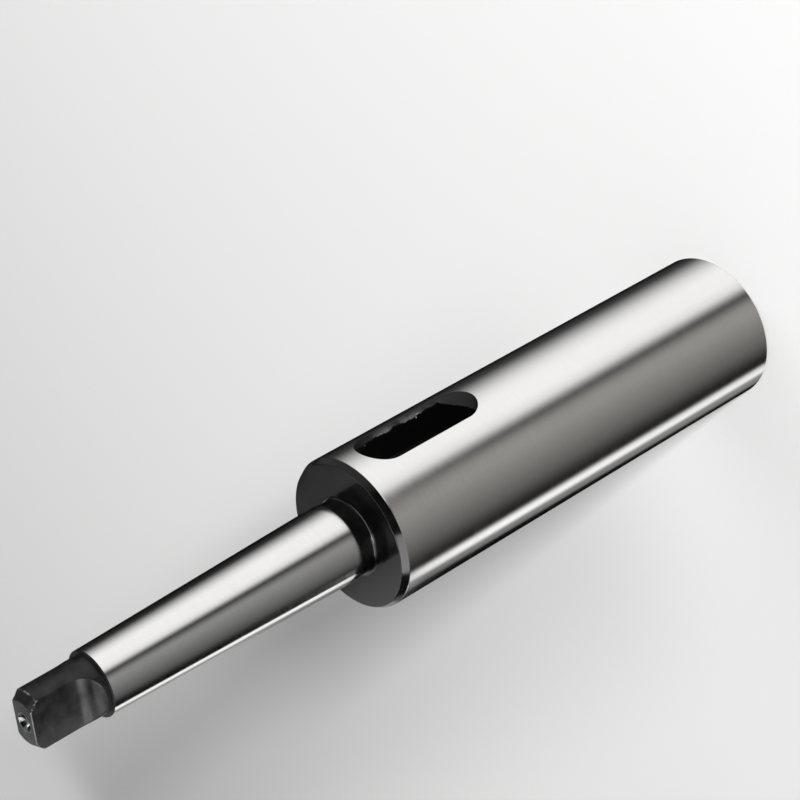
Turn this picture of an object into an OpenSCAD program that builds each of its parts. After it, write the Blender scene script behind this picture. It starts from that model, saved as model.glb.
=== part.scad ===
// Taper extension sleeve for drilling machines and lathes, turned and milled from
// one steel bar. A tanged taper shank carries a longer cylindrical body, which has
// the next larger taper as its socket and a cross slot for the drift key.
// The sleeve stands on its mouth face, with the tang up. Z is the turning axis.
// The slot runs right through along Y, and the flats of the tang face +X and -X.

/* [Body] */
// Outside diameter of the cylindrical body
body_d = 35; // [32:0.5:50]
// Length of the body, from the mouth face to the shoulder face
body_l = 116; // [113:1:160]
// Length along the axis of the chamfer round the shoulder
shoulder_chamfer_l = 1.5; // [0.2:0.1:5]
// Depth of the chamfer round the shoulder, square to the axis
shoulder_chamfer_depth = 0.8; // [0.2:0.1:4]
// Edge break round the outside of the mouth
mouth_break = 0.5; // [0.1:0.1:2]

/* [Neck] */
// Diameter of the turned relief between the shoulder and the shank taper
neck_d = 17.4; // [12:0.1:18]
// Length of the relief
neck_l = 4; // [2:0.5:12]
// Fillet where the relief meets the shoulder face
neck_fillet = 0.5; // [0.1:0.1:1.8]

/* [Shank taper] */
// Diameter at the large end of the shank taper
shank_d = 18; // [17.5:0.1:24]
// Length of the ground taper
shank_l = 64; // [40:1:75]
// Length in which the shank taper loses one millimetre of diameter
shank_run = 20.02; // [18:0.01:40]
// Edge break round the small end of the taper
shank_break = 0.2; // [0.1:0.05:0.4]

/* [Tang] */
// Diameter of the turned end that the tang is milled from
tang_d = 13; // [11:0.1:13.6]
// Length of that end, beyond the taper
tang_l = 16; // [14:0.5:30]
// Thickness of the tang across its flats
tang_thickness = 6.3; // [5:0.1:9]
// Length of each flat, from the end of the tang to its run-out
flat_l = 10; // [4:0.5:10.5]
// Radius of the milling cutter, left as the run-out of each flat
runout_r = 6; // [4:0.5:8]
// Chamfer round the tip of the tang
tip_chamfer = 1.6; // [0.2:0.1:3]

/* [Centre hole] */
// Diameter of the countersink in the end of the tang
centre_d = 4; // [2.6:0.1:4.8]
// Diameter of the pilot drilling below the countersink
pilot_d = 1.6; // [0.8:0.1:2.4]
// Depth of the pilot drilling, from the end of the tang
pilot_depth = 4; // [3.5:0.1:10]
// Included angle of the countersink
centre_angle = 60; // [60:5:90]

/* [Socket] */
// Diameter of the socket taper at the mouth face
socket_d = 23.825; // [21:0.005:26]
// Length in which the socket taper loses one millimetre of diameter
socket_run = 19.922; // [18:0.001:25]
// Diameter of the straight bore behind the taper, which clears the tool's tang
tang_bore_d = 20.2; // [19.5:0.1:20.9]
// Depth of the straight bore, from the mouth face to its full diameter's end
tang_bore_depth = 100; // [95:1:104]
// Included angle of the drill point at the bottom of the bore
drill_angle = 118; // [90:1:140]
// Inner chamfer that protects the edge of the socket at the mouth
socket_chamfer = 0.8; // [0.2:0.1:2]

/* [Drift slot] */
// Distance from the mouth face to the near end of the slot
slot_start = 78; // [60:1:80]
// Length of the slot between its round ends
slot_l = 32; // [20:0.5:32]
// Width of the slot
slot_w = 11.7; // [6:0.1:14]

/* [Hidden] */
$fn = 128;

steel = "silver";
oxide = "dimgray";

// How far a cutting shape reaches past the face that it cuts
past = 1;

shoulder_z = body_l;
taper_z = shoulder_z + neck_l;
tang_z = taper_z + shank_l;
total_l = tang_z + tang_l;

shank_end_d = shank_d - shank_l / shank_run;
socket_l = (socket_d - tang_bore_d) * socket_run;
countersink_depth = (centre_d - pilot_d) / 2 / tan(centre_angle / 2);
slot_end = slot_start + slot_l;

// Cylinder with its upper edge chamfered by depth x length
module chamfered_rod(d, h, depth, length) {
    cylinder(d = d, h = h - length);
    translate([0, 0, h - length])
        cylinder(d1 = d, d2 = d - 2 * depth, h = length);
}

// Drilled hole with a conical bottom, opening downwards at the origin
module drilled_hole(d, depth) {
    translate([0, 0, -past])
        cylinder(d = d, h = depth + past);
    translate([0, 0, depth])
        cylinder(d1 = d, d2 = 0, h = d / 2 / tan(drill_angle / 2));
}

module body_form() {
    color(steel) {
        cylinder(d1 = body_d - 2 * mouth_break, d2 = body_d, h = mouth_break);
        translate([0, 0, mouth_break])
            chamfered_rod(body_d, body_l - mouth_break, shoulder_chamfer_depth, shoulder_chamfer_l);
    }
}

// Relief with a round corner at the shoulder
module neck_form() {
    color(oxide)
        translate([0, 0, shoulder_z]) {
            cylinder(d = neck_d, h = neck_l);
            rotate_extrude()
                translate([neck_d / 2, 0])
                    difference() {
                        square(neck_fillet);
                        translate([neck_fillet, neck_fillet])
                            circle(r = neck_fillet);
                    }
        }
}

module shank_form() {
    color(steel)
        translate([0, 0, taper_z]) {
            cylinder(d1 = shank_d, d2 = shank_end_d + shank_break / shank_run, h = shank_l - shank_break);
            translate([0, 0, shank_l - shank_break])
                cylinder(
                    d1 = shank_end_d + shank_break / shank_run,
                    d2 = shank_end_d - 2 * shank_break,
                    h = shank_break
                );
        }
}

module tang_form() {
    color(oxide)
        translate([0, 0, tang_z])
            chamfered_rod(tang_d, tang_l, tip_chamfer, tip_chamfer);
}

// What the cutter takes away beside one flat, run out on the cutter's radius
module flat_cut() {
    translate([tang_thickness / 2, 0, total_l - flat_l])
        rotate([90, 0, 0])
            linear_extrude(height = tang_d + 2 * past, center = true) {
                square([runout_r, flat_l + past]);
                translate([runout_r, 0])
                    circle(r = runout_r);
            }
}

module tang_flats() {
    flat_cut();
    mirror([1, 0, 0])
        flat_cut();
}

module centre_hole() {
    translate([0, 0, total_l])
        mirror([0, 0, 1]) {
            drilled_hole(pilot_d, pilot_depth);
            cylinder(d1 = centre_d, d2 = pilot_d, h = countersink_depth);
        }
}

// Taper socket, its protective chamfer and the bore for the tool's tang
module socket() {
    translate([0, 0, -past])
        cylinder(d1 = socket_d + past / socket_run, d2 = tang_bore_d, h = socket_l + past);
    cylinder(
        d1 = socket_d + 2 * socket_chamfer,
        d2 = socket_d - socket_chamfer / socket_run,
        h = socket_chamfer
    );
    drilled_hole(tang_bore_d, tang_bore_depth);
}

// Cross slot with round ends, cut right through the body
module drift_slot() {
    rotate([90, 0, 0])
        linear_extrude(height = body_d + 2 * past, center = true) {
            translate([-slot_w / 2, slot_start + slot_w / 2])
                square([slot_w, slot_l - slot_w]);
            for (end_z = [slot_start + slot_w / 2, slot_end - slot_w / 2])
                translate([0, end_z])
                    circle(d = slot_w);
        }
}

module taper_sleeve() {
    difference() {
        union() {
            body_form();
            neck_form();
            shank_form();
            difference() {
                tang_form();
                tang_flats();
            }
        }
        color(steel)
            socket();
        color(oxide)
            drift_slot();
        color(oxide)
            centre_hole();
    }
}

taper_sleeve();
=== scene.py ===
import math

import bmesh
import bpy
from mathutils import Matrix, Vector


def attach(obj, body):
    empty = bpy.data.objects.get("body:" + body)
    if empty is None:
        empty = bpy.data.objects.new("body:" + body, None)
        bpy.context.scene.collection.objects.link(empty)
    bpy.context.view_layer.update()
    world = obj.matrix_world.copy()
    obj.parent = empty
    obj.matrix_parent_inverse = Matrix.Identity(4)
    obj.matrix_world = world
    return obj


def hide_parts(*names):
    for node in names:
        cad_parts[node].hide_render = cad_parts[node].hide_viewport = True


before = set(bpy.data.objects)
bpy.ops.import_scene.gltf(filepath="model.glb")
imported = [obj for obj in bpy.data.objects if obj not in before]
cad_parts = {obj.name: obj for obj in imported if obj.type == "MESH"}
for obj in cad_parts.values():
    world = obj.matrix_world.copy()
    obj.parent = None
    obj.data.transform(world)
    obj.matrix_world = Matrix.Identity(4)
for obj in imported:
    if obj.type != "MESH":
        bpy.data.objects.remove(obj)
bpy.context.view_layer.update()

mm = 0.001
scene = bpy.context.scene

cameraValues = {
    "place": (-352.03, -289.11, 391.21),  # mm, in the frame of the sleeve
    "aim": (11.965, -15.963, 87.817),     # mm, a point beside the axis, level with the slot
    "right": (-0.6769, 0.0907, -0.7304),  # the picture's right-hand direction
    "lens": 113.17,                       # mm
    "sensor": 36,                         # mm, across
    "clip": (0.01, 50),                   # m, the nearest and the farthest that it shows
}


def placeCamera(values):
    data = bpy.data.cameras.new("camera")
    data.sensor_width = values["sensor"]
    data.lens = values["lens"]
    data.clip_start, data.clip_end = values["clip"]
    camera = bpy.data.objects.new("camera", data)
    place = Vector(values["place"]) * mm
    back = (place - Vector(values["aim"]) * mm).normalized()
    right = Vector(values["right"])
    right = (right - back * right.dot(back)).normalized()
    up = back.cross(right)
    camera.location = place
    camera.rotation_mode = "QUATERNION"
    camera.rotation_quaternion = Matrix((right, up, back)).transposed().to_quaternion()
    scene.collection.objects.link(camera)
    scene.camera = camera


placeCamera(cameraValues)
print("camera placed")

# The sleeve is one lathe-turned mesh; the slot is cut out of it afterwards.
sleeveValues = {                     # all in mm, as the solid has them
    "columns": 640,                  # points round each ring
    "bodyRadius": 17.5,
    "bodyLength": 116.0,
    "shoulderChamfer": (0.8, 1.5),   # across, along
    "mouthBreak": 0.5,
    "neckRadius": 8.7,
    "neckLength": 4.0,
    "neckFillet": 0.5,
    "taperRadius": 9.0,
    "taperLength": 64.0,
    "taperRun": 20.02,               # length that takes 1 mm off the diameter
    "taperBreak": 0.2,
    "socketRadius": 11.9125,
    "socketRun": 19.922,
    "socketChamfer": 0.8,
    "boreRadius": 10.1,
    "boreDepth": 100.0,
    "drillPoint": 59.0,              # degrees, half of the drill's point angle
    "bareEnd": 0.32,                 # how far before the taper's end the grinding stops
    "softEdge": 0.08,                # radius on the turned edges
    "arcStep": 15,                   # degrees, the most that one step of such an edge turns
    "stay": 0.25,                    # distance from an edge to the rings that keep its sides straight
    "stayRoom": 3,                   # a side this many times longer than that distance gets such a ring
    "sharpTurn": 32,                 # degrees, the turn from which an edge is shaded sharp
    "faceWeight": 60,                # how far large faces lead the shading
}

tangValues = {
    "radius": 6.5,
    "length": 16.0,
    "half": 3.15,                    # half of the thickness across the flats
    "flatLength": 10.0,
    "flatRings": (2.5, 5.0),         # places of the rings on the flats, from their run-out
    "cutterRadius": 6.0,
    "runoutRings": 30,
    "runoutPast": 0.35,              # how far past the round surface the run-out's arc is followed
    "footFillet": 0.15,
    "footRing": 0.2,                 # distance from the foot to the ring round it
    "corner": 0.26,                  # width over which the milled corners are rounded
    "tipChamfer": 1.6,
    "chamferEdge": 0.1,              # half of the width over which the chamfer sets in
    "chamferStays": (0.35, 0.45),    # rings beside its lower and its upper edge, as "stay" above
    "endEdge": 0.16,                 # radius round the end face
    "endDraw": 0.05,                 # how much narrower the end face is than the chamfer alone leaves it
    "endRings": (0.12, 0.5, 0.9),    # shares of the way from the end face's edge to the hole
    "holeRadius": 2.0,
    "holeAngle": 60,                 # degrees
    "holeRim": 0.06,
    "pilotRadius": 0.8,
    "pilotDepth": 4.0,
}

# how far the tang is rubbed bright, from 0 to 1: a ring's corners, flats and round part, or one
# number for all of them
tangWear = {
    "flats": (0.2, 0, 0),
    "belowChamfer": (0.6, 0, 0),
    "chamferEdge": (1.0, 0, 0.5),
    "chamfer": (0.9, 0, 0),
    "endEdge": (0.9, 0.4, 0.3),
    "endGrowth": 0.3,                # what each ring of the end's edge adds on the flats
    "endFace": 0.32,
    "holeRim": 0.8,
}

slotValues = {
    "start": 78.0,
    "length": 32.0,
    "half": 5.85,
    "edge": 0.05,                    # edge break round the slot's mouth
    "arcSteps": 48,
    "cutterPast": 2.5,               # how far the cutter reaches past the body
    "bodyRings": (1.5, 1.2),         # distances below and above the slot to rings on the body
}

finishes = ["groundSteel", "blackOxide", "slotOxide", "boreSteel", "tangOxide", "socketSteel",
            "centreSteel"]


# Each corner is (radius, height, edge radius, wear, finish of the strip after it).
# A ring is (radii, height, wear, finish), with one number or one for each column.
def roundedProfile(corners, values):
    stay = values["stay"]
    rings = []
    for i, (radius, height, soft, wear, finish) in enumerate(corners):
        if soft == 0 or i == 0 or i == len(corners) - 1:
            rings.append((radius, height, wear, finish))
            continue
        lastFinish = corners[i - 1][4]
        here = Vector((radius, height))
        toLast = Vector(corners[i - 1][:2]) - here
        toNext = Vector(corners[i + 1][:2]) - here
        u, v = toLast.normalized(), toNext.normalized()
        opening = math.acos(max(-1, min(1, u.dot(v))))
        reach = soft / math.tan(opening / 2)
        centre = here + (u + v).normalized() * soft / math.sin(opening / 2)
        turn = math.pi - opening
        steps = max(2, math.ceil(math.degrees(turn) / values["arcStep"]))
        if toLast.length > values["stayRoom"] * (reach + stay):
            point = here + u * (reach + stay)
            rings.append((point.x, point.y, 0, lastFinish))
        start = here + u * reach - centre
        end = here + v * reach - centre
        sense = math.copysign(1, start.x * end.y - start.y * end.x)
        for k in range(steps + 1):
            point = centre + Matrix.Rotation(sense * turn * k / steps, 2) @ start
            rings.append((point.x, point.y, wear, lastFinish if k < steps / 2 else finish))
        if toNext.length > values["stayRoom"] * (reach + stay):
            point = here + v * (reach + stay)
            rings.append((point.x, point.y, 0, finish))
    return rings


def softLeast(a, b, width):
    blend = max(width - abs(a - b), 0) / width
    return min(a, b) - blend * blend * width / 4


# One ring of the tang: a circle cut by the two flats, with soft corners.
# cornerWear is for the corners, flatWear and roundWear for the rest of the ring.
def tangRing(radius, half, values, columns, cornerWear=0.0, flatWear=0.0, roundWear=0.0):
    radii, wear = [], []
    for j in range(columns):
        across = max(abs(math.cos(2 * math.pi * j / columns)), 1e-6)
        flat = half / across
        radii.append(softLeast(radius, flat, values["corner"]))
        nearCorner = max(0.0, 1 - abs(radius - flat) / values["corner"])
        rest = flatWear if flat < radius else roundWear
        wear.append(max(rest, nearCorner * cornerWear))
    return radii, wear


def quarterTurn(steps):
    return [math.pi / 2 * k / steps for k in range(steps + 1)]


def tangRings(values, start, columns):
    top = start + values["length"]
    flatStart = top - values["flatLength"]
    cutter, half, full = values["cutterRadius"], values["half"], values["radius"]
    chamferStart = top - values["tipChamfer"]
    tip = full - values["tipChamfer"]
    rings = []

    def add(radius, halfHere, height, *wear):
        radii, worn = tangRing(radius, halfHere, values, columns, *wear)
        rings.append((radii, height, worn, "tangOxide"))

    foot = values["footFillet"]
    for angle in quarterTurn(3):
        radius = full + foot * (1 - math.sin(angle))
        rings.append((radius, start + foot * (1 - math.cos(angle)), 0, "tangOxide"))
    widest = math.acos(1 - (full + values["runoutPast"] - half) / cutter)
    for k in range(values["runoutRings"] + 1):   # run-out of the flats on the cutter's radius
        angle = widest * (1 - k / values["runoutRings"])
        add(full, half + cutter * (1 - math.cos(angle)), flatStart - cutter * math.sin(angle))
    for along in values["flatRings"]:
        add(full, half, flatStart + along, *tangWear["flats"])
    lowerStay, upperStay = values["chamferStays"]
    add(full, half, chamferStart - lowerStay, *tangWear["belowChamfer"])
    soft, steps = values["chamferEdge"], 4
    for k in range(steps + 1):               # soft edge where the chamfer begins
        share = k / steps
        height = chamferStart - soft + 2 * soft * share
        add(full - soft * share * share, half, height, *tangWear["chamferEdge"])
    add(full - lowerStay, half, chamferStart + lowerStay, *tangWear["chamfer"])
    add(tip + upperStay, half, top - upperStay, *tangWear["chamfer"])
    edge, steps = values["endEdge"], 5
    for k, angle in enumerate(quarterTurn(steps)):   # soft edge round the end face
        height = top - edge + edge * math.sin(angle)
        radius = tip + (top - height) - values["endDraw"] * (k / steps) ** 2
        onCorners, onFlats, onRound = tangWear["endEdge"]
        onFlats = min(1.0, onFlats + tangWear["endGrowth"] * k)
        add(radius, half - edge * (1 - math.cos(angle)), height, onCorners, onFlats, onRound)
    outline, _ = tangRing(tip - values["endDraw"], half - edge, values, columns)
    rim = values["holeRim"]
    hole = values["holeRadius"] + rim
    for share in values["endRings"]:
        radii = [r + (hole - r) * share for r in outline]
        rings.append((radii, top, tangWear["endFace"], "tangOxide"))
    for k, angle in enumerate(quarterTurn(3)):   # rim of the centre hole
        finish = "tangOxide" if k < 2 else "centreSteel"
        height = top - rim * (1 - math.cos(angle))
        rings.append((hole - rim * math.sin(angle), height, tangWear["holeRim"], finish))
    pilot = values["pilotRadius"]
    depth = (values["holeRadius"] - pilot) / math.tan(math.radians(values["holeAngle"] / 2))
    bottom = top - values["pilotDepth"]
    drillTip = bottom - pilot / math.tan(math.radians(sleeveValues["drillPoint"]))
    for radius, height in ((pilot, top - depth), (pilot, bottom), (0.0, drillTip)):
        rings.append((radius, height, 0, "centreSteel"))
    return rings


def sleeveRings(values):
    soft, body, length = values["softEdge"], values["bodyRadius"], values["bodyLength"]
    acrossChamfer, alongChamfer = values["shoulderChamfer"]
    bore, socket, neck = values["boreRadius"], values["socketRadius"], values["neckRadius"]
    taperStart = length + values["neckLength"]
    taperEnd = taperStart + values["taperLength"]
    endRadius = values["taperRadius"] - values["taperLength"] / values["taperRun"] / 2
    bareRadius = endRadius + values["bareEnd"] / values["taperRun"] / 2
    socketEnd = 2 * (socket - bore) * values["socketRun"]
    chamferEnd = socket - values["socketChamfer"] / values["socketRun"] / 2
    drillTip = values["boreDepth"] + bore / math.tan(math.radians(values["drillPoint"]))
    footRing = tangValues["radius"] + tangValues["footRing"]
    corners = [
        (0.0, drillTip, 0, 0, "boreSteel"),
        (bore, values["boreDepth"], 0, 0, "boreSteel"),
        (bore, socketEnd, 0, 0, "socketSteel"),
        (chamferEnd, values["socketChamfer"], soft, 1, "groundSteel"),
        (socket + values["socketChamfer"], 0.0, soft, 1, "groundSteel"),
        (body - values["mouthBreak"], 0.0, soft, 0.5, "groundSteel"),
        (body, values["mouthBreak"], soft, 0, "groundSteel"),
        (body, length - alongChamfer, soft, 0.55, "blackOxide"),
        (body - acrossChamfer, length, soft, 0.5, "blackOxide"),
        (neck, length, values["neckFillet"], 0, "blackOxide"),
        (neck, taperStart, 0, 0, "blackOxide"),
        (values["taperRadius"], taperStart, soft, 1, "groundSteel"),
        (bareRadius, taperEnd - values["bareEnd"], 0, 0, "tangOxide"),
        (endRadius, taperEnd - values["taperBreak"], soft, 0, "tangOxide"),
        (endRadius - values["taperBreak"], taperEnd, soft, 0, "tangOxide"),
        (footRing, taperEnd, 0, 0, "tangOxide"),
    ]
    profile = roundedProfile(corners, values)
    below, above = slotValues["bodyRings"]
    slotEnd = slotValues["start"] + slotValues["length"]
    rings = []
    for ring, after in zip(profile, profile[1:]):
        rings.append(ring)
        if ring[0] == after[0] == body:      # rings close to the slot's ends keep its rim clean
            for height in (slotValues["start"] - below, slotEnd + above):
                if ring[1] < height < after[1]:
                    rings.append((body, height, 0, ring[3]))
    rings.append(profile[-1])
    return rings + tangRings(tangValues, taperEnd, values["columns"])


def buildTurned(values):
    columns = values["columns"]
    turns = [2 * math.pi * j / columns for j in range(columns)]
    mesh = bmesh.new()
    wearLayer = mesh.verts.layers.float.new("edgeWear")
    rings = []
    for radii, height, wear, finish in sleeveRings(values):
        radii = radii if isinstance(radii, list) else [radii] * columns
        wear = wear if isinstance(wear, list) else [wear] * columns
        if max(radii) == 0:
            rings.append(([mesh.verts.new((0, 0, height * mm))], finish))
            continue
        ring = []
        for turn, radius, worn in zip(turns, radii, wear):
            point = Vector((radius * math.cos(turn), radius * math.sin(turn), height)) * mm
            vert = mesh.verts.new(point)
            vert[wearLayer] = worn
            ring.append(vert)
        rings.append((ring, finish))
    for (lower, finish), (upper, _) in zip(rings, rings[1:]):
        for j in range(columns):
            k = (j + 1) % columns
            around = [lower[j % len(lower)], lower[k % len(lower)],
                      upper[k % len(upper)], upper[j % len(upper)]]
            face = mesh.faces.new(list(dict.fromkeys(around)))
            face.material_index = finishes.index(finish)
            face.smooth = True
    bmesh.ops.recalc_face_normals(mesh, faces=mesh.faces)
    return mesh


def slotOutline(values):
    centres = (values["start"] + values["length"] - values["half"], values["start"] + values["half"])
    outline = []
    for side, centre in enumerate(centres):
        for k in range(values["arcSteps"] + 1):
            angle = math.pi * (side + k / values["arcSteps"])
            outline.append((math.cos(angle), math.sin(angle), centre))
    return outline


# The cutter follows the round body, and flares out above it to break the slot's edge.
def buildSlotCutter(values, bodyRadius):
    half, edge = values["half"], values["edge"]
    outside = bodyRadius + values["cutterPast"]
    mesh = bmesh.new()
    rings = []
    for side, atEdge in ((-1, False), (-1, True), (1, True), (1, False)):
        ring = []
        for acrossSlot, alongSlot, centre in slotOutline(values):
            x, z = acrossSlot * half, alongSlot * half + centre
            y = math.sqrt(bodyRadius * bodyRadius - x * x) - edge
            spread = 0 if atEdge else outside - y
            point = Vector((x + acrossSlot * spread, side * (y + spread), z + alongSlot * spread))
            ring.append(mesh.verts.new(point * mm))
        rings.append(ring)
    for lower, upper in zip(rings, rings[1:]):
        for j in range(len(lower)):
            k = (j + 1) % len(lower)
            face = mesh.faces.new((lower[j], lower[k], upper[k], upper[j]))
            face.material_index = finishes.index("slotOxide")
            face.smooth = True
    mesh.faces.new(rings[0])
    mesh.faces.new(list(reversed(rings[-1])))
    bmesh.ops.recalc_face_normals(mesh, faces=mesh.faces)
    return mesh


def meshObject(name, mesh):
    data = bpy.data.meshes.new(name)
    mesh.to_mesh(data)
    mesh.free()
    made = bpy.data.objects.new(name, data)
    scene.collection.objects.link(made)
    return made


def applyModifiers(target):
    graph = bpy.context.evaluated_depsgraph_get()
    baked = bpy.data.meshes.new_from_object(target.evaluated_get(graph), depsgraph=graph)
    old = target.data
    target.modifiers.clear()
    target.data = baked
    bpy.data.meshes.remove(old)


def buildSleeve(materials):
    sleeve = meshObject("sleeve", buildTurned(sleeveValues))
    cutter = meshObject("slotCutter", buildSlotCutter(slotValues, sleeveValues["bodyRadius"]))
    for name in finishes:
        sleeve.data.materials.append(materials[name])
        cutter.data.materials.append(materials[name])
    cut = sleeve.modifiers.new("slot", "BOOLEAN")
    cut.operation = "DIFFERENCE"
    cut.solver = "EXACT"
    cut.material_mode = "INDEX"
    cut.object = cutter
    applyModifiers(sleeve)
    bpy.data.objects.remove(cutter)
    sleeve.data.name = "sleeve"
    sleeve.data.set_sharp_from_angle(angle=math.radians(sleeveValues["sharpTurn"]))
    evened = sleeve.modifiers.new("evenNormals", "WEIGHTED_NORMAL")
    evened.keep_sharp = True
    evened.weight = sleeveValues["faceWeight"]
    applyModifiers(sleeve)
    sleeve.data.calc_loop_triangles()
    print("sleeve made:", len(sleeve.data.loop_triangles), "triangles")
    return sleeve


def newMaterial(name):
    material = bpy.data.materials.new(name)
    material.use_nodes = True
    return material, material.node_tree, material.node_tree.nodes["Principled BSDF"]


def setSocket(tree, socket, value):
    if isinstance(value, bpy.types.NodeSocket):
        tree.links.new(value, socket)
    elif isinstance(value, tuple) and socket.type == "RGBA":
        socket.default_value = (*value, 1)
    elif value is not None:
        socket.default_value = value


def maths(tree, operation, a, b=None):
    node = tree.nodes.new("ShaderNodeMath")
    node.operation = operation
    setSocket(tree, node.inputs[0], a)
    setSocket(tree, node.inputs[1], b)
    return node.outputs[0]


def mapRange(tree, value, low, high, toLow=0.0, toHigh=1.0, smoothly=False):
    node = tree.nodes.new("ShaderNodeMapRange")
    node.interpolation_type = "SMOOTHSTEP" if smoothly else "LINEAR"
    limits = {"Value": value, "From Min": low, "From Max": high, "To Min": toLow, "To Max": toHigh}
    for name, limit in limits.items():
        setSocket(tree, node.inputs[name], limit)
    return node.outputs["Result"]


def mixColours(tree, share, a, b):
    node = tree.nodes.new("ShaderNodeMix")
    node.data_type = "RGBA"
    setSocket(tree, node.inputs["Factor"], share)
    for socket, value in zip([i for i in node.inputs if i.type == "RGBA"], (a, b)):
        setSocket(tree, socket, value)
    return [o for o in node.outputs if o.type == "RGBA"][0]


# cells is how many cells of the noise there are to a metre along x, y and z
def noiseOf(tree, position, cells, detail, roughness):
    scaled = tree.nodes.new("ShaderNodeVectorMath")
    scaled.operation = "MULTIPLY"
    tree.links.new(position, scaled.inputs[0])
    scaled.inputs[1].default_value = cells
    noise = tree.nodes.new("ShaderNodeTexNoise")
    noise.inputs["Scale"].default_value = 1.0
    noise.inputs["Detail"].default_value = detail
    noise.inputs["Roughness"].default_value = roughness
    tree.links.new(scaled.outputs[0], noise.inputs["Vector"])
    return noise.outputs["Fac"]


def newGroup(name, inputs, outputs):
    group = bpy.data.node_groups.new(name, "ShaderNodeTree")
    for socketName, kind, value in inputs:
        socket = group.interface.new_socket(socketName, in_out="INPUT", socket_type=kind)
        if value is not None:
            socket.default_value = value
    for socketName in outputs:
        group.interface.new_socket(socketName, in_out="OUTPUT", socket_type="NodeSocketFloat")
    given = group.nodes.new("NodeGroupInput").outputs
    results = group.nodes.new("NodeGroupOutput").inputs
    return group, given, results


def useGroup(tree, group, values):
    node = tree.nodes.new("ShaderNodeGroup")
    node.node_tree = group
    for name, value in values.items():
        setSocket(tree, node.inputs[name], value)
    return node.outputs


# Each mark is one noise: its cells, detail and roughness, and the range of it stretched to 0 to 1.
markValues = {
    "turnedMarks": {                 # what turning and grinding leave round the axis, and staining
        "Lines": ((60, 60, 5200), 2, 0.6, (0.32, 0.68)),
        "Bands": ((22, 22, 700), 2, 0.5, (0.3, 0.7)),
        "Clouds": ((95, 95, 60), 3, 0.55, (0.3, 0.7)),
    },
    "oxideBlotches": {               # the uneven tone of an oxide finish, and its fine grain
        "Blotch": ((330, 330, 330), 3, 0.55, (0.34, 0.66)),
        "Grain": ((4200, 4200, 4200), 2, 0.5, (0, 1)),
    },
}

edgeWearValues = {
    "patches": ((900, 900, 900), 3, 0.6),   # the noise that breaks the worn edge up
    "middle": 0.5,                   # value of that noise which adds nothing
    "full": 1.05,                    # edge value and noise together, where the metal is quite bare
}


def makeMarks(name):
    marks = markValues[name]
    group, given, results = newGroup(name, [("Position", "NodeSocketVector", None)], marks)
    for mark, (cells, detail, roughness, limits) in marks.items():
        noise = noiseOf(group, given["Position"], cells, detail, roughness)
        group.links.new(mapRange(group, noise, *limits), results[mark])
    return group


# where an edge is rubbed bright: the edge value broken up by patches
def makeEdgeWear(values):
    inputs = [("Edge", "NodeSocketFloat", 0.0), ("Position", "NodeSocketVector", None),
              ("Cover", "NodeSocketFloat", 0.5)]
    group, given, results = newGroup("edgeWear", inputs, ("Mask",))
    patches = noiseOf(group, given["Position"], *values["patches"])
    raised = maths(group, "ADD", given["Edge"], maths(group, "SUBTRACT", patches, values["middle"]))
    least = maths(group, "SUBTRACT", 1.0, given["Cover"])
    group.links.new(mapRange(group, raised, least, values["full"], smoothly=True), results["Mask"])
    return group


turnedMarks = makeMarks("turnedMarks")
edgeWear = makeEdgeWear(edgeWearValues)
oxideBlotches = makeMarks("oxideBlotches")


def positionOf(tree):
    return tree.nodes.new("ShaderNodeTexCoord").outputs["Object"]


# y and z in metres, and the distance from the axis in mm
def placeParts(tree, position):
    split = tree.nodes.new("ShaderNodeSeparateXYZ")
    tree.links.new(position, split.inputs[0])
    x, y, z = split.outputs
    squares = maths(tree, "ADD", maths(tree, "MULTIPLY", x, x), maths(tree, "MULTIPLY", y, y))
    return y, z, maths(tree, "MULTIPLY", maths(tree, "SQRT", squares), 1 / mm)


# the colour goes to the shader with its worn edges, and their mask is handed back
def paintWorn(tree, shader, position, colour, values):
    edge = tree.nodes.new("ShaderNodeAttribute")
    edge.attribute_name = "edgeWear"
    given = {"Edge": edge.outputs["Fac"], "Position": position, "Cover": values["cover"]}
    worn = useGroup(tree, edgeWear, given)["Mask"]
    tree.links.new(mixColours(tree, worn, colour, values["worn"]), shader.inputs["Base Color"])
    return worn


def paintWornOxide(tree, shader, position, colour, values):
    worn = paintWorn(tree, shader, position, colour, values)
    tree.links.new(maths(tree, "MULTIPLY", worn, values["wornMetallic"]), shader.inputs["Metallic"])


def addBump(tree, shader, height, depth):
    bump = tree.nodes.new("ShaderNodeBump")
    bump.inputs["Distance"].default_value = depth * mm
    tree.links.new(height, bump.inputs["Height"])
    tree.links.new(bump.outputs["Normal"], shader.inputs["Normal"])


groundSteelValues = {
    "light": (0.622, 0.617, 0.611),
    "dull": (0.588, 0.582, 0.575),
    "worn": (0.72, 0.715, 0.71),
    "cover": 0.6,
    "dulling": (0.45, 0.55),         # shares that the lines and the clouds have in the dull tone
    "roughness": (0.115, 0.165),
    "lineDepth": 0.0006,             # mm
}


def makeGroundSteel(values):
    material, tree, shader = newMaterial("groundSteel")
    position = positionOf(tree)
    marks = useGroup(tree, turnedMarks, {"Position": position})
    lineShare, cloudShare = values["dulling"]
    lines = maths(tree, "MULTIPLY", marks["Lines"], lineShare)
    clouds = maths(tree, "MULTIPLY", marks["Clouds"], cloudShare)
    colour = mixColours(tree, maths(tree, "ADD", lines, clouds), values["light"], values["dull"])
    paintWorn(tree, shader, position, colour, values)
    shader.inputs["Metallic"].default_value = 1
    uneven = maths(tree, "ADD", marks["Bands"], marks["Lines"])
    tree.links.new(mapRange(tree, uneven, 0, 2, *values["roughness"]), shader.inputs["Roughness"])
    addBump(tree, shader, marks["Lines"], values["lineDepth"])
    return material


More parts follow.
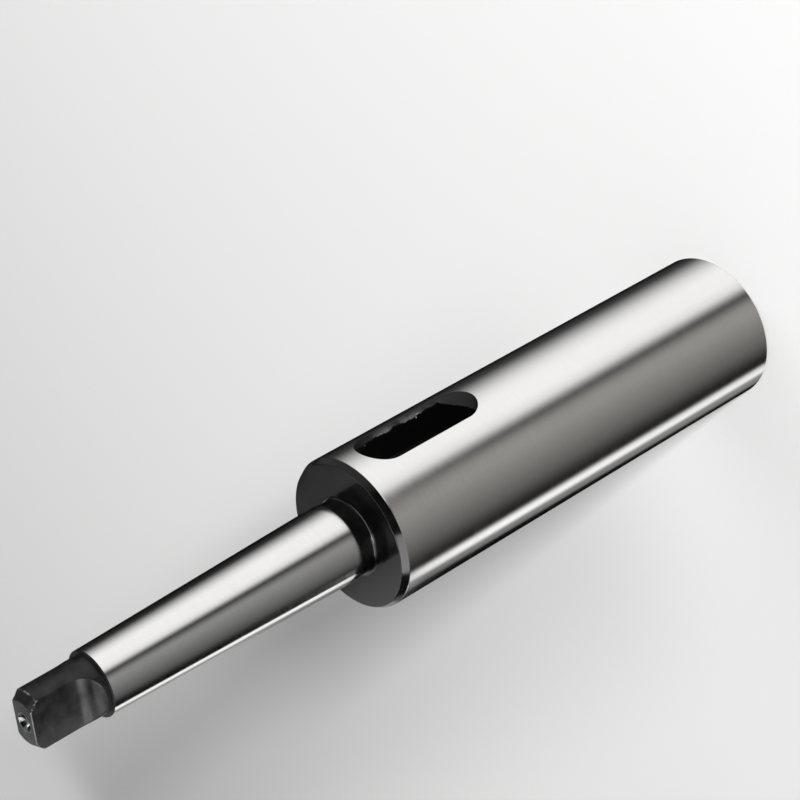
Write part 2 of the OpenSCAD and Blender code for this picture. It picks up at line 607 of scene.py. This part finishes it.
shoulderOxideValues = {
    "dark": (0.0012, 0.0012, 0.0013),
    "light": (0.004, 0.004, 0.0042),
    "worn": (0.34, 0.34, 0.345),
    "cover": 0.33,
    "wornMetallic": 0.9,
    "roughness": (0.125, 0.165),     # on the chamfer and the neck
    "faceRoughness": (0.165, 0.205),
    "face": (9.2, 9.6, 16.5, 16.8),  # mm from the axis, where the face sets in and where it ends
    "ior": 1.9,                      # the oiled oxide is glossy
    "grainDepth": 0.0008,            # mm
}


def makeShoulderOxide(values):
    material, tree, shader = newMaterial("blackOxide")
    position = positionOf(tree)
    spots = useGroup(tree, oxideBlotches, {"Position": position})
    colour = mixColours(tree, spots["Blotch"], values["dark"], values["light"])
    paintWornOxide(tree, shader, position, colour, values)
    _, _, radius = placeParts(tree, position)
    inner, innerFull, outerFull, outer = values["face"]
    face = maths(tree, "MULTIPLY", mapRange(tree, radius, inner, innerFull),
                 mapRange(tree, radius, outerFull, outer, 1.0, 0.0))
    smoothPart = mapRange(tree, spots["Blotch"], 0, 1, *values["roughness"])
    roughPart = mapRange(tree, spots["Blotch"], 0, 1, *values["faceRoughness"])
    extra = maths(tree, "MULTIPLY", face, maths(tree, "SUBTRACT", roughPart, smoothPart))
    tree.links.new(maths(tree, "ADD", smoothPart, extra), shader.inputs["Roughness"])
    shader.inputs["IOR"].default_value = values["ior"]
    addBump(tree, shader, spots["Grain"], values["grainDepth"])
    return material


tangOxideValues = {
    "dark": (0.0020, 0.0020, 0.0021),
    "light": (0.040, 0.040, 0.041),
    "worn": (0.36, 0.365, 0.37),
    "cover": 0.6,
    "wornMetallic": 0.9,
    "lighterAlongY": (-1.5, 6.5),          # mm along y, between which the tone grows lighter
    "blotches": 0.28,                # share of the tone that the blotches give
    "roughness": (0.33, 0.44),
    "ior": 1.3,
    "milled": (6.30, 6.47),          # mm from the axis: the milled faces lie inside, the scale outside
    "oilRoughness": 0.26,            # the milled faces hold a film of oil
    "oilIor": 1.62,
    "oilNoise": ((420, 170, 700), 4, 0.6),   # cells, detail, roughness
    "oilPatches": (0.36, 0.62, 0.35),   # range of that noise over which the film sets in, and its least
    "thickOil": (188.8, 191.4, 0.5),    # mm up: thick below the first, this share above the second
    "grainDepth": 0.008,             # mm
}


def makeTangOxide(values):
    material, tree, shader = newMaterial("tangOxide")
    position = positionOf(tree)
    y, z, radius = placeParts(tree, position)
    spots = useGroup(tree, oxideBlotches, {"Position": position})
    start, end = values["lighterAlongY"]
    yShare = mapRange(tree, y, start * mm, end * mm, 0.0, 1 - values["blotches"])
    tone = maths(tree, "ADD", yShare, maths(tree, "MULTIPLY", spots["Blotch"], values["blotches"]))
    colour = mixColours(tree, tone, values["dark"], values["light"])
    paintWornOxide(tree, shader, position, colour, values)
    tree.links.new(mapRange(tree, spots["Blotch"], 0, 1, *values["roughness"]), shader.inputs["Roughness"])
    inside, outside = values["milled"]
    milled = mapRange(tree, radius, inside, outside, 1.0, 0.0, smoothly=True)
    low, high, least = values["oilPatches"]
    patches = mapRange(tree, noiseOf(tree, position, *values["oilNoise"]), low, high, least, 1.0)
    thickEnd, thinStart, thinShare = values["thickOil"]
    oil = mapRange(tree, z, thickEnd * mm, thinStart * mm, 1.0, thinShare, smoothly=True)
    film = maths(tree, "MULTIPLY", maths(tree, "MULTIPLY", milled, patches), oil)
    tree.links.new(film, shader.inputs["Coat Weight"])
    shader.inputs["Coat Roughness"].default_value = values["oilRoughness"]
    shader.inputs["Coat IOR"].default_value = values["oilIor"]
    shader.inputs["IOR"].default_value = values["ior"]
    addBump(tree, shader, spots["Grain"], values["grainDepth"])
    return material


# Below a ragged line the slot's wall is painted near black: painted shade of the slot's depths.
slotOxideValues = {
    "paintedInsideShade": (0.0012, 0.0012, 0.0012),
    "wall": (0.023, 0.023, 0.0235),
    "paintedShadeFarWall": (0.009, 0.009, 0.0092),
    "far": (98.0, 107.0),            # mm, heights between which the wall turns to the darker tone, a painted shade towards the slot's upper end
    "scraped": (0.10, 0.10, 0.10),
    # the burrs along that line, with their glints painted in as light specks
    "paintedBurrGlint": (0.8, 0.8, 0.8),
    "paintedShadeRadius": 15.9,                # mm from the axis, where the painted shade of the slot's inside begins
    "ragged": 3.4,                   # mm, how far that line wanders
    "wander": ((150, 150, 300), 5, 0.62),    # the noise that moves it: cells, detail, roughness
    "turn": (-0.04, 0.12),           # mm past the line, where the painted shade turns to the wall's tone
    "lower": (77.5, 83.0, 2.2),      # mm: between these heights the line drops by the last number
    "streaks": ((380, 380, 330), 4, 0.65),   # the noise of the wall: cells, detail, roughness
    "scrapedStreaks": (0.44, 0.6),   # range of that noise over which the wall is scraped
    "middle": 93.0,                  # mm, height of the most scraped part
    "reach": (6.0, 13.0),            # mm from there, where the scraping fades
    "scrapedDepth": (17.3, 16.1),    # mm from the axis, where the scraping is least and where full
    "leastScraped": 0.1,
    "paintedBurrGlints": (900.0, 0.10, 0.20),    # cells to a metre, and how much of a cell shines: specks of burrs, their glints painted
    "paintedGlintReach": (0.15, 0.35),       # mm from the line, where the painted glints of the burrs fade
    "roughStreaks": (0.3, 0.7),      # range of the wall's noise that the roughness follows
    "roughness": (0.5, 0.65),
    "specular": 0.1,
    "streakDepth": 0.06,             # mm
}


def makeSlotOxide(values):
    material, tree, shader = newMaterial("slotOxide")
    position = positionOf(tree)
    _, z, radius = placeParts(tree, position)
    # the ragged line below which the wall is painted near black, as painted shade
    wander = maths(tree, "MULTIPLY", noiseOf(tree, position, *values["wander"]), values["ragged"])
    bottom, top, drop = values["lower"]
    low = mapRange(tree, z, bottom * mm, top * mm, -drop, 0.0)
    least = values["paintedShadeRadius"] - values["ragged"] / 2
    paintedShadeEdge = maths(tree, "ADD", maths(tree, "ADD", wander, low), least)
    above = maths(tree, "SUBTRACT", radius, paintedShadeEdge)
    outsidePaintedShade = mapRange(tree, above, *values["turn"], smoothly=True)
    streaks = noiseOf(tree, position, *values["streaks"])
    offMiddle = maths(tree, "ABSOLUTE", maths(tree, "SUBTRACT", z, values["middle"] * mm))
    near, far = values["reach"]
    middle = mapRange(tree, offMiddle, near * mm, far * mm, 1.0, 0.0, smoothly=True)
    depth = mapRange(tree, radius, *values["scrapedDepth"], values["leastScraped"], 1.0)
    rubbed = maths(tree, "MULTIPLY", mapRange(tree, streaks, *values["scrapedStreaks"]), depth)
    # painted shade: the wall darkens towards the slot's upper end
    farShadeShare = mapRange(tree, z, *[height * mm for height in values["far"]], smoothly=True)
    wall = mixColours(tree, farShadeShare, values["wall"], values["paintedShadeFarWall"])
    wall = mixColours(tree, maths(tree, "MULTIPLY", rubbed, middle), wall, values["scraped"])
    colour = mixColours(tree, outsidePaintedShade, values["paintedInsideShade"], wall)
    # burrs along the line, their glints painted in as bright specks
    cells = tree.nodes.new("ShaderNodeTexVoronoi")
    cells.inputs["Scale"].default_value, *shining = values["paintedBurrGlints"]
    tree.links.new(position, cells.inputs["Vector"])
    glintSpeck = mapRange(tree, cells.outputs["Distance"], *shining, 1.0, 0.0, smoothly=True)
    offEdge = maths(tree, "ABSOLUTE", above)
    nearEdge = mapRange(tree, offEdge, *values["paintedGlintReach"], 1.0, 0.0, smoothly=True)
    paintedBurrGlint = maths(tree, "MULTIPLY", maths(tree, "MULTIPLY", glintSpeck, nearEdge), middle)
    tree.links.new(mixColours(tree, paintedBurrGlint, colour, values["paintedBurrGlint"]), shader.inputs["Base Color"])
    rough = mapRange(tree, streaks, *values["roughStreaks"], *values["roughness"])
    tree.links.new(rough, shader.inputs["Roughness"])
    shader.inputs["Specular IOR Level"].default_value = values["specular"]
    addBump(tree, shader, streaks, values["streakDepth"])
    return material


boreValues = {
    "boreSteel": {"light": (0.010, 0.010, 0.010), "dark": (0.004, 0.004, 0.004), "metallic": 0,
                  "roughness": (0.5, 0.6)},
    "socketSteel": {"light": (0.56, 0.555, 0.55), "dark": (0.50, 0.495, 0.49), "metallic": 1,
                    "roughness": (0.2, 0.3)},
    "centreSteel": {"light": (0.56, 0.57, 0.57), "dark": (0.40, 0.41, 0.41), "metallic": 1,
                    "roughness": (0.16, 0.26)},
}
boreLineDepth = 0.002                # mm


def makeBoreFinish(name, values):
    material, tree, shader = newMaterial(name)
    marks = useGroup(tree, turnedMarks, {"Position": positionOf(tree)})
    colour = mixColours(tree, marks["Bands"], values["light"], values["dark"])
    tree.links.new(colour, shader.inputs["Base Color"])
    shader.inputs["Metallic"].default_value = values["metallic"]
    tree.links.new(mapRange(tree, marks["Lines"], 0, 1, *values["roughness"]), shader.inputs["Roughness"])
    addBump(tree, shader, marks["Lines"], boreLineDepth)
    return material


materials = {
    "groundSteel": makeGroundSteel(groundSteelValues),
    "blackOxide": makeShoulderOxide(shoulderOxideValues),
    "tangOxide": makeTangOxide(tangOxideValues),
    "slotOxide": makeSlotOxide(slotOxideValues),
}
for finishName, finishValues in boreValues.items():
    materials[finishName] = makeBoreFinish(finishName, finishValues)
print("materials made:", ", ".join(materials))

sleeve = buildSleeve(materials)
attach(sleeve, "root")
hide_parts("taper_sleeve")


def smooth(low, high, value):
    share = min(1, max(0, (value - low) / (high - low)))
    return share * share * (3 - 2 * share)


# Only reflections see the tent. Its soft panels stand round the sleeve as in a photographer's
# light tent, one row for the body and above it one for the taper. For each panel: azimuth of its
# two edges and how wide they fade, in degrees; glow at the first edge and from "full" on; lowest
# and highest elevation; lean, in degrees of azimuth for each degree of elevation, and the
# elevation at which the azimuths hold.
bodyRow, taperRow = (-70, -28), (-28, -5)
bodyLevel, taperLevel = -38, -22
tentValues = {
    "radius": 900.0,                 # mm
    "low": -1500.0,
    "high": 1500.0,
    "eye": 70.0,                     # height from which elevations are counted
    "columns": 360,
    "rows": 120,
    "dark": 0.0025,
    "softRise": 1.5,                 # degrees on each side, over which a panel's upper and lower edge fade
    "panels": {
        "main": {"azimuth": (242.5, 317), "soft": (20, 69), "glow": (1.05, 1.44), "full": 264.5,
                 "rise": bodyRow},
        "mainTail": {"azimuth": (300, 329.5), "soft": (40, 120), "glow": (0.24, 0.24), "rise": bodyRow},
        "strip": {"azimuth": (99, 115.5), "soft": (9.5, 11.5), "glow": (1.09, 1.33), "rise": bodyRow,
                  "lean": (-0.4, bodyLevel)},
        "beside": {"azimuth": (77, 107.5), "soft": (10, 12.5), "glow": (0.22, 0.43), "rise": (-70, -30),
                   "lean": (-0.95, bodyLevel)},
        "grey": {"azimuth": (125.5, 229), "soft": (60, 28), "glow": (0.02, 0.44), "full": 205,
                 "rise": bodyRow, "lean": (-0.2, bodyLevel), "tint": (1.025, 1.0, 0.96)},
        "taperMain": {"azimuth": (230.5, 308.5), "soft": (17.5, 62), "glow": (1.07, 1.42), "full": 250,
                      "rise": taperRow},
        "taperTail": {"azimuth": (284, 339), "soft": (40, 88), "glow": (0.06, 0.06), "rise": taperRow},
        "taperStrip": {"azimuth": (85, 102), "soft": (8, 2), "glow": (0.8, 1.95), "rise": taperRow,
                       "lean": (-0.15, taperLevel)},
        "taperBeside": {"azimuth": (48, 90), "soft": (20, 10), "glow": (0.24, 0.28), "rise": taperRow},
        "taperEdge": {"azimuth": (30, 75), "soft": (30, 14), "glow": (0.3, 0.3), "rise": (-23.5, -5)},
        "taperGrey": {"azimuth": (125, 214.5), "soft": (29, 28), "glow": (0.06, 0.4), "full": 197,
                      "rise": taperRow, "lean": (-0.18, taperLevel)},
        "high": {"azimuth": (131.5, 186.5), "soft": (3, 3), "glow": (1.9, 1.9), "rise": (2, 26)},
        "highest": {"azimuth": (98, 152), "soft": (8, 8), "glow": (0.9, 0.9), "rise": (41, 56)},
        "spark": {"azimuth": (152, 184), "soft": (6, 6), "glow": (13, 13), "rise": (49, 57)},
        "faint": {"azimuth": (262, 352), "soft": (30, 20), "glow": (0.2, 0.2), "rise": (-14, 34)},
        "back": {"azimuth": (12, 76), "soft": (20, 20), "glow": (0.7, 0.7), "rise": (-13, 30)},
    },
}


def panelGlow(panel, azimuth, elevation, softRise):
    low, high = panel["rise"]
    lean, level = panel.get("lean", (0, 0))
    turned = azimuth + lean * (elevation - level)
    start, end = panel["azimuth"]
    middle = (start + end) / 2
    turned = (turned - middle + 180) % 360 - 180 + middle
    softStart, softEnd = panel["soft"]
    inside = smooth(start - softStart / 2, start + softStart / 2, turned)
    inside *= 1 - smooth(end - softEnd / 2, end + softEnd / 2, turned)
    inside *= smooth(low - softRise, low + softRise, elevation)
    inside *= 1 - smooth(high - softRise, high + softRise, elevation)
    first, last = panel["glow"]
    share = min(1, max(0, (turned - start) / (panel.get("full", end) - start)))
    return Vector(panel.get("tint", (1, 1, 1))) * inside * (first + (last - first) * share)


# Two smaller cards stand close behind the sleeve: the shoulder face sees the lower one past the
# taper, bright on one side and faint on the other, and the tang's end sees the upper one.
cardValues = {
    "shoulderCard": {"height": (190.0, 266.0), "across": (-60.0, 110.0),
                     "lobes": [(7.0, 16.5, 200.0, 210.0, 0.48), (-28.0, -15.0, -20.0, -9.0, 0.37)]},
    "tipCard": {"height": (273.0, 314.0), "across": (-60.0, 60.0),
                "lobes": [(-60.0, -50.0, 50.0, 60.0, 1.0)]},
}
cardPlace = {"azimuth": 40.0, "distance": 200.0, "columns": 170}   # degrees, mm


# a material of one plain shader, coloured by an attribute of the mesh
def makeToned(name, attribute, shaderKind):
    material = bpy.data.materials.new(name)
    material.use_nodes = True
    nodes, links = material.node_tree.nodes, material.node_tree.links
    nodes.clear()
    tone = nodes.new("ShaderNodeAttribute")
    tone.attribute_name = attribute
    shader = nodes.new(shaderKind)
    out = nodes.new("ShaderNodeOutputMaterial")
    links.new(tone.outputs["Color"], shader.inputs["Color"])
    links.new(shader.outputs[0], out.inputs[0])
    return material


def hideFrom(piece, rays):
    for ray in rays:
        setattr(piece, "visible_" + ray, False)


# grid is rows of (place in mm, tone), and the tone is kept in the attribute
def buildSheet(name, grid, closed, attribute, material, hiddenFrom):
    mesh = bmesh.new()
    layer = mesh.verts.layers.float_color.new(attribute)
    rows = []
    for points in grid:
        row = []
        for place, tone in points:
            vert = mesh.verts.new(Vector(place) * mm)
            vert[layer] = (*tone, 1)
            row.append(vert)
        rows.append(row)
    for lower, upper in zip(rows, rows[1:]):
        for j in range(len(lower) if closed else len(lower) - 1):
            k = (j + 1) % len(lower)
            mesh.faces.new((lower[j], upper[j], upper[k], lower[k]))
    sheet = meshObject(name, mesh)
    sheet.data.materials.append(material)
    hideFrom(sheet, hiddenFrom)


def tentGrid(values):
    grid = []
    for i in range(values["rows"] + 1):
        height = values["low"] + (values["high"] - values["low"]) * i / values["rows"]
        elevation = math.degrees(math.atan2(height - values["eye"], values["radius"]))
        points = []
        for j in range(values["columns"]):
            azimuth = 360 * j / values["columns"]
            turn = math.radians(azimuth)
            glow = Vector([values["dark"]] * 3)
            for panel in values["panels"].values():
                glow += panelGlow(panel, azimuth, elevation, values["softRise"])
            place = (values["radius"] * math.cos(turn), values["radius"] * math.sin(turn), height)
            points.append((place, glow))
        grid.append(points)
    return grid


def levelDirections(azimuth):
    turn = math.radians(azimuth)
    return Vector((math.cos(turn), math.sin(turn), 0)), Vector((-math.sin(turn), math.cos(turn), 0))


# each lobe rises between its first two places across the card, and falls between the next two
def cardGrid(card, place):
    outward, sideways = levelDirections(place["azimuth"])
    left, right = card["across"]
    grid = []
    for height in card["height"]:
        points = []
        for k in range(place["columns"] + 1):
            across = left + (right - left) * k / place["columns"]
            glow = sum(strength * smooth(rise, risen, across) * (1 - smooth(fall, fallen, across))
                       for rise, risen, fall, fallen, strength in card["lobes"])
            spot = outward * place["distance"] + sideways * across + Vector((0, 0, height))
            points.append((spot, [glow] * 3))
        grid.append(points)
    return grid


glowMaterial = makeToned("panelGlow", "glow", "ShaderNodeEmission")
onlyReflected = ("camera", "diffuse", "shadow", "transmission", "volume_scatter")
buildSheet("reflectionTent", tentGrid(tentValues), True, "glow", glowMaterial, onlyReflected)
for cardName, card in cardValues.items():
    buildSheet(cardName, cardGrid(card, cardPlace), False, "glow", glowMaterial, onlyReflected)

floorValues = {
    "size": 6000.0,                  # mm
    "drop": 0.02,
    "colour": (0.89, 0.893, 0.888),
    "roughness": 0.9,
    "specular": 0.1,
    "fade": (560.0, 1300.0),         # mm from the sleeve, where the floor turns into the white background
}


def buildFloor(values):
    mesh = bmesh.new()
    half = values["size"] / 2
    around = [(x * half, y * half, -values["drop"]) for x, y in ((-1, -1), (1, -1), (1, 1), (-1, 1))]
    mesh.faces.new([mesh.verts.new(Vector(corner) * mm) for corner in around])
    floor = meshObject("floor", mesh)
    material, tree, shader = newMaterial("paleFloor")
    shader.inputs["Base Color"].default_value = (*values["colour"], 1)
    shader.inputs["Roughness"].default_value = values["roughness"]
    shader.inputs["Specular IOR Level"].default_value = values["specular"]
    _, _, radius = placeParts(tree, positionOf(tree))
    far = mapRange(tree, radius, *values["fade"], smoothly=True)
    seen = tree.nodes.new("ShaderNodeLightPath").outputs["Is Camera Ray"]
    white = tree.nodes.new("ShaderNodeEmission")
    mix = tree.nodes.new("ShaderNodeMixShader")
    share = maths(tree, "MULTIPLY", far, seen)
    for socket, output in zip(mix.inputs, (share, shader.outputs[0], white.outputs[0])):
        tree.links.new(output, socket)
    tree.links.new(mix.outputs[0], tree.nodes["Material Output"].inputs["Surface"])
    floor.data.materials.append(material)
    hideFrom(floor, ("glossy",))


buildFloor(floorValues)

lampValues = {                       # degrees, m, W
    "key": {"azimuth": 222.5, "elevation": 24.5, "distance": 1.6, "size": 0.18, "power": 32.5},
    "fill": {"azimuth": 306.5, "elevation": 46, "distance": 0.7, "size": 0.45, "power": 1.0},
}
lampAim = (0, 0, 0.08)               # m, level with the slot's lower end


def addLamps(values):
    for name, lamp in values.items():
        data = bpy.data.lights.new(name, "AREA")
        data.shape = "SQUARE"
        data.size = lamp["size"]
        data.energy = lamp["power"]
        made = bpy.data.objects.new(name, data)
        azimuth, elevation = math.radians(lamp["azimuth"]), math.radians(lamp["elevation"])
        level = math.cos(elevation)
        toward = Vector((math.cos(azimuth) * level, math.sin(azimuth) * level, math.sin(elevation)))
        made.location = toward * lamp["distance"] + Vector(lampAim)
        made.rotation_mode = "QUATERNION"
        made.rotation_quaternion = toward.to_track_quat("Z", "Y")
        hideFrom(made, ("glossy", "camera"))
        scene.collection.objects.link(made)


addLamps(lampValues)

# A piece of gauze lies low behind the sleeve, where no ray of the camera or of a reflection meets it, and
# holds back light from the floor round the shadow: a painted shadow, broader and darker than the one the
# sleeve casts.
paintedShadowGauzeValues = {
    "azimuth": 42.5,                 # degrees, away from the key lamp
    "height": 6.0,                   # mm, as all below
    "along": (21.0, 520.0),
    "across": (-70.0, 110.0),
    "middle": (11.0, 0.04),          # where its middle lies at the sleeve, and how it drifts further out
    "half": 74.0,
    "strength": (0.15, 0.00046),     # share of light held back at the sleeve, and its growth outwards
    "rise": (35.0, 105.0),           # where it begins to hold light back, and does so fully
    "fade": (455.0, 480.0),
    "steps": (60, 40),
}


def paintedShadowGauzeGrid(values):
    outward, sideways = levelDirections(values["azimuth"])
    shift = values["height"] / math.tan(math.radians(lampValues["key"]["elevation"]))
    rows, columns = values["steps"]
    start, end = values["along"]
    left, right = values["across"]
    middle, drift = values["middle"]
    strength, growth = values["strength"]
    grid = []
    for i in range(rows + 1):
        along = start + (end - start) * i / rows
        lands = along + shift            # where the key light that passes here meets the floor
        points = []
        for j in range(columns + 1):
            across = left + (right - left) * j / columns
            offMiddle = across - (middle + drift * lands)
            held = (strength + growth * lands) * max(0, 1 - (offMiddle / values["half"]) ** 2) ** 2
            held *= smooth(*values["rise"], lands) * (1 - smooth(*values["fade"], lands))
            spot = outward * along + sideways * across + Vector((0, 0, values["height"]))
            points.append((spot, [1 - held] * 3))
        grid.append(points)
    return grid


shadowVeil = makeToned("paintedShadowVeil", "passed", "ShaderNodeBsdfTransparent")
buildSheet("gauze", paintedShadowGauzeGrid(paintedShadowGauzeValues), False, "passed", shadowVeil, ("camera", "glossy", "transmission"))

worldValues = {"ambient": 0.345, "seen": 1.0}


# camera, reflections and glass see white; everything else gets the dimmer ambient light
def buildWorld(values):
    world = bpy.data.worlds.new("studio")
    scene.world = world
    world.use_nodes = True
    tree = world.node_tree
    tree.nodes.clear()
    path = tree.nodes.new("ShaderNodeLightPath")
    direct = maths(tree, "MAXIMUM", path.outputs["Is Camera Ray"], path.outputs["Is Glossy Ray"])
    seen = maths(tree, "MAXIMUM", direct, path.outputs["Is Transmission Ray"])
    shades = []
    for strength in (values["ambient"], values["seen"]):
        shade = tree.nodes.new("ShaderNodeBackground")
        shade.inputs["Color"].default_value = (1, 1, 1, 1)
        shade.inputs["Strength"].default_value = strength
        shades.append(shade.outputs[0])
    mix = tree.nodes.new("ShaderNodeMixShader")
    out = tree.nodes.new("ShaderNodeOutputWorld")
    for socket, output in zip(mix.inputs, [seen] + shades):
        tree.links.new(output, socket)
    tree.links.new(mix.outputs[0], out.inputs[0])


buildWorld(worldValues)
scene.view_settings.view_transform = "Standard"
print("floor, tent, cards, gauze, lamps and world made")
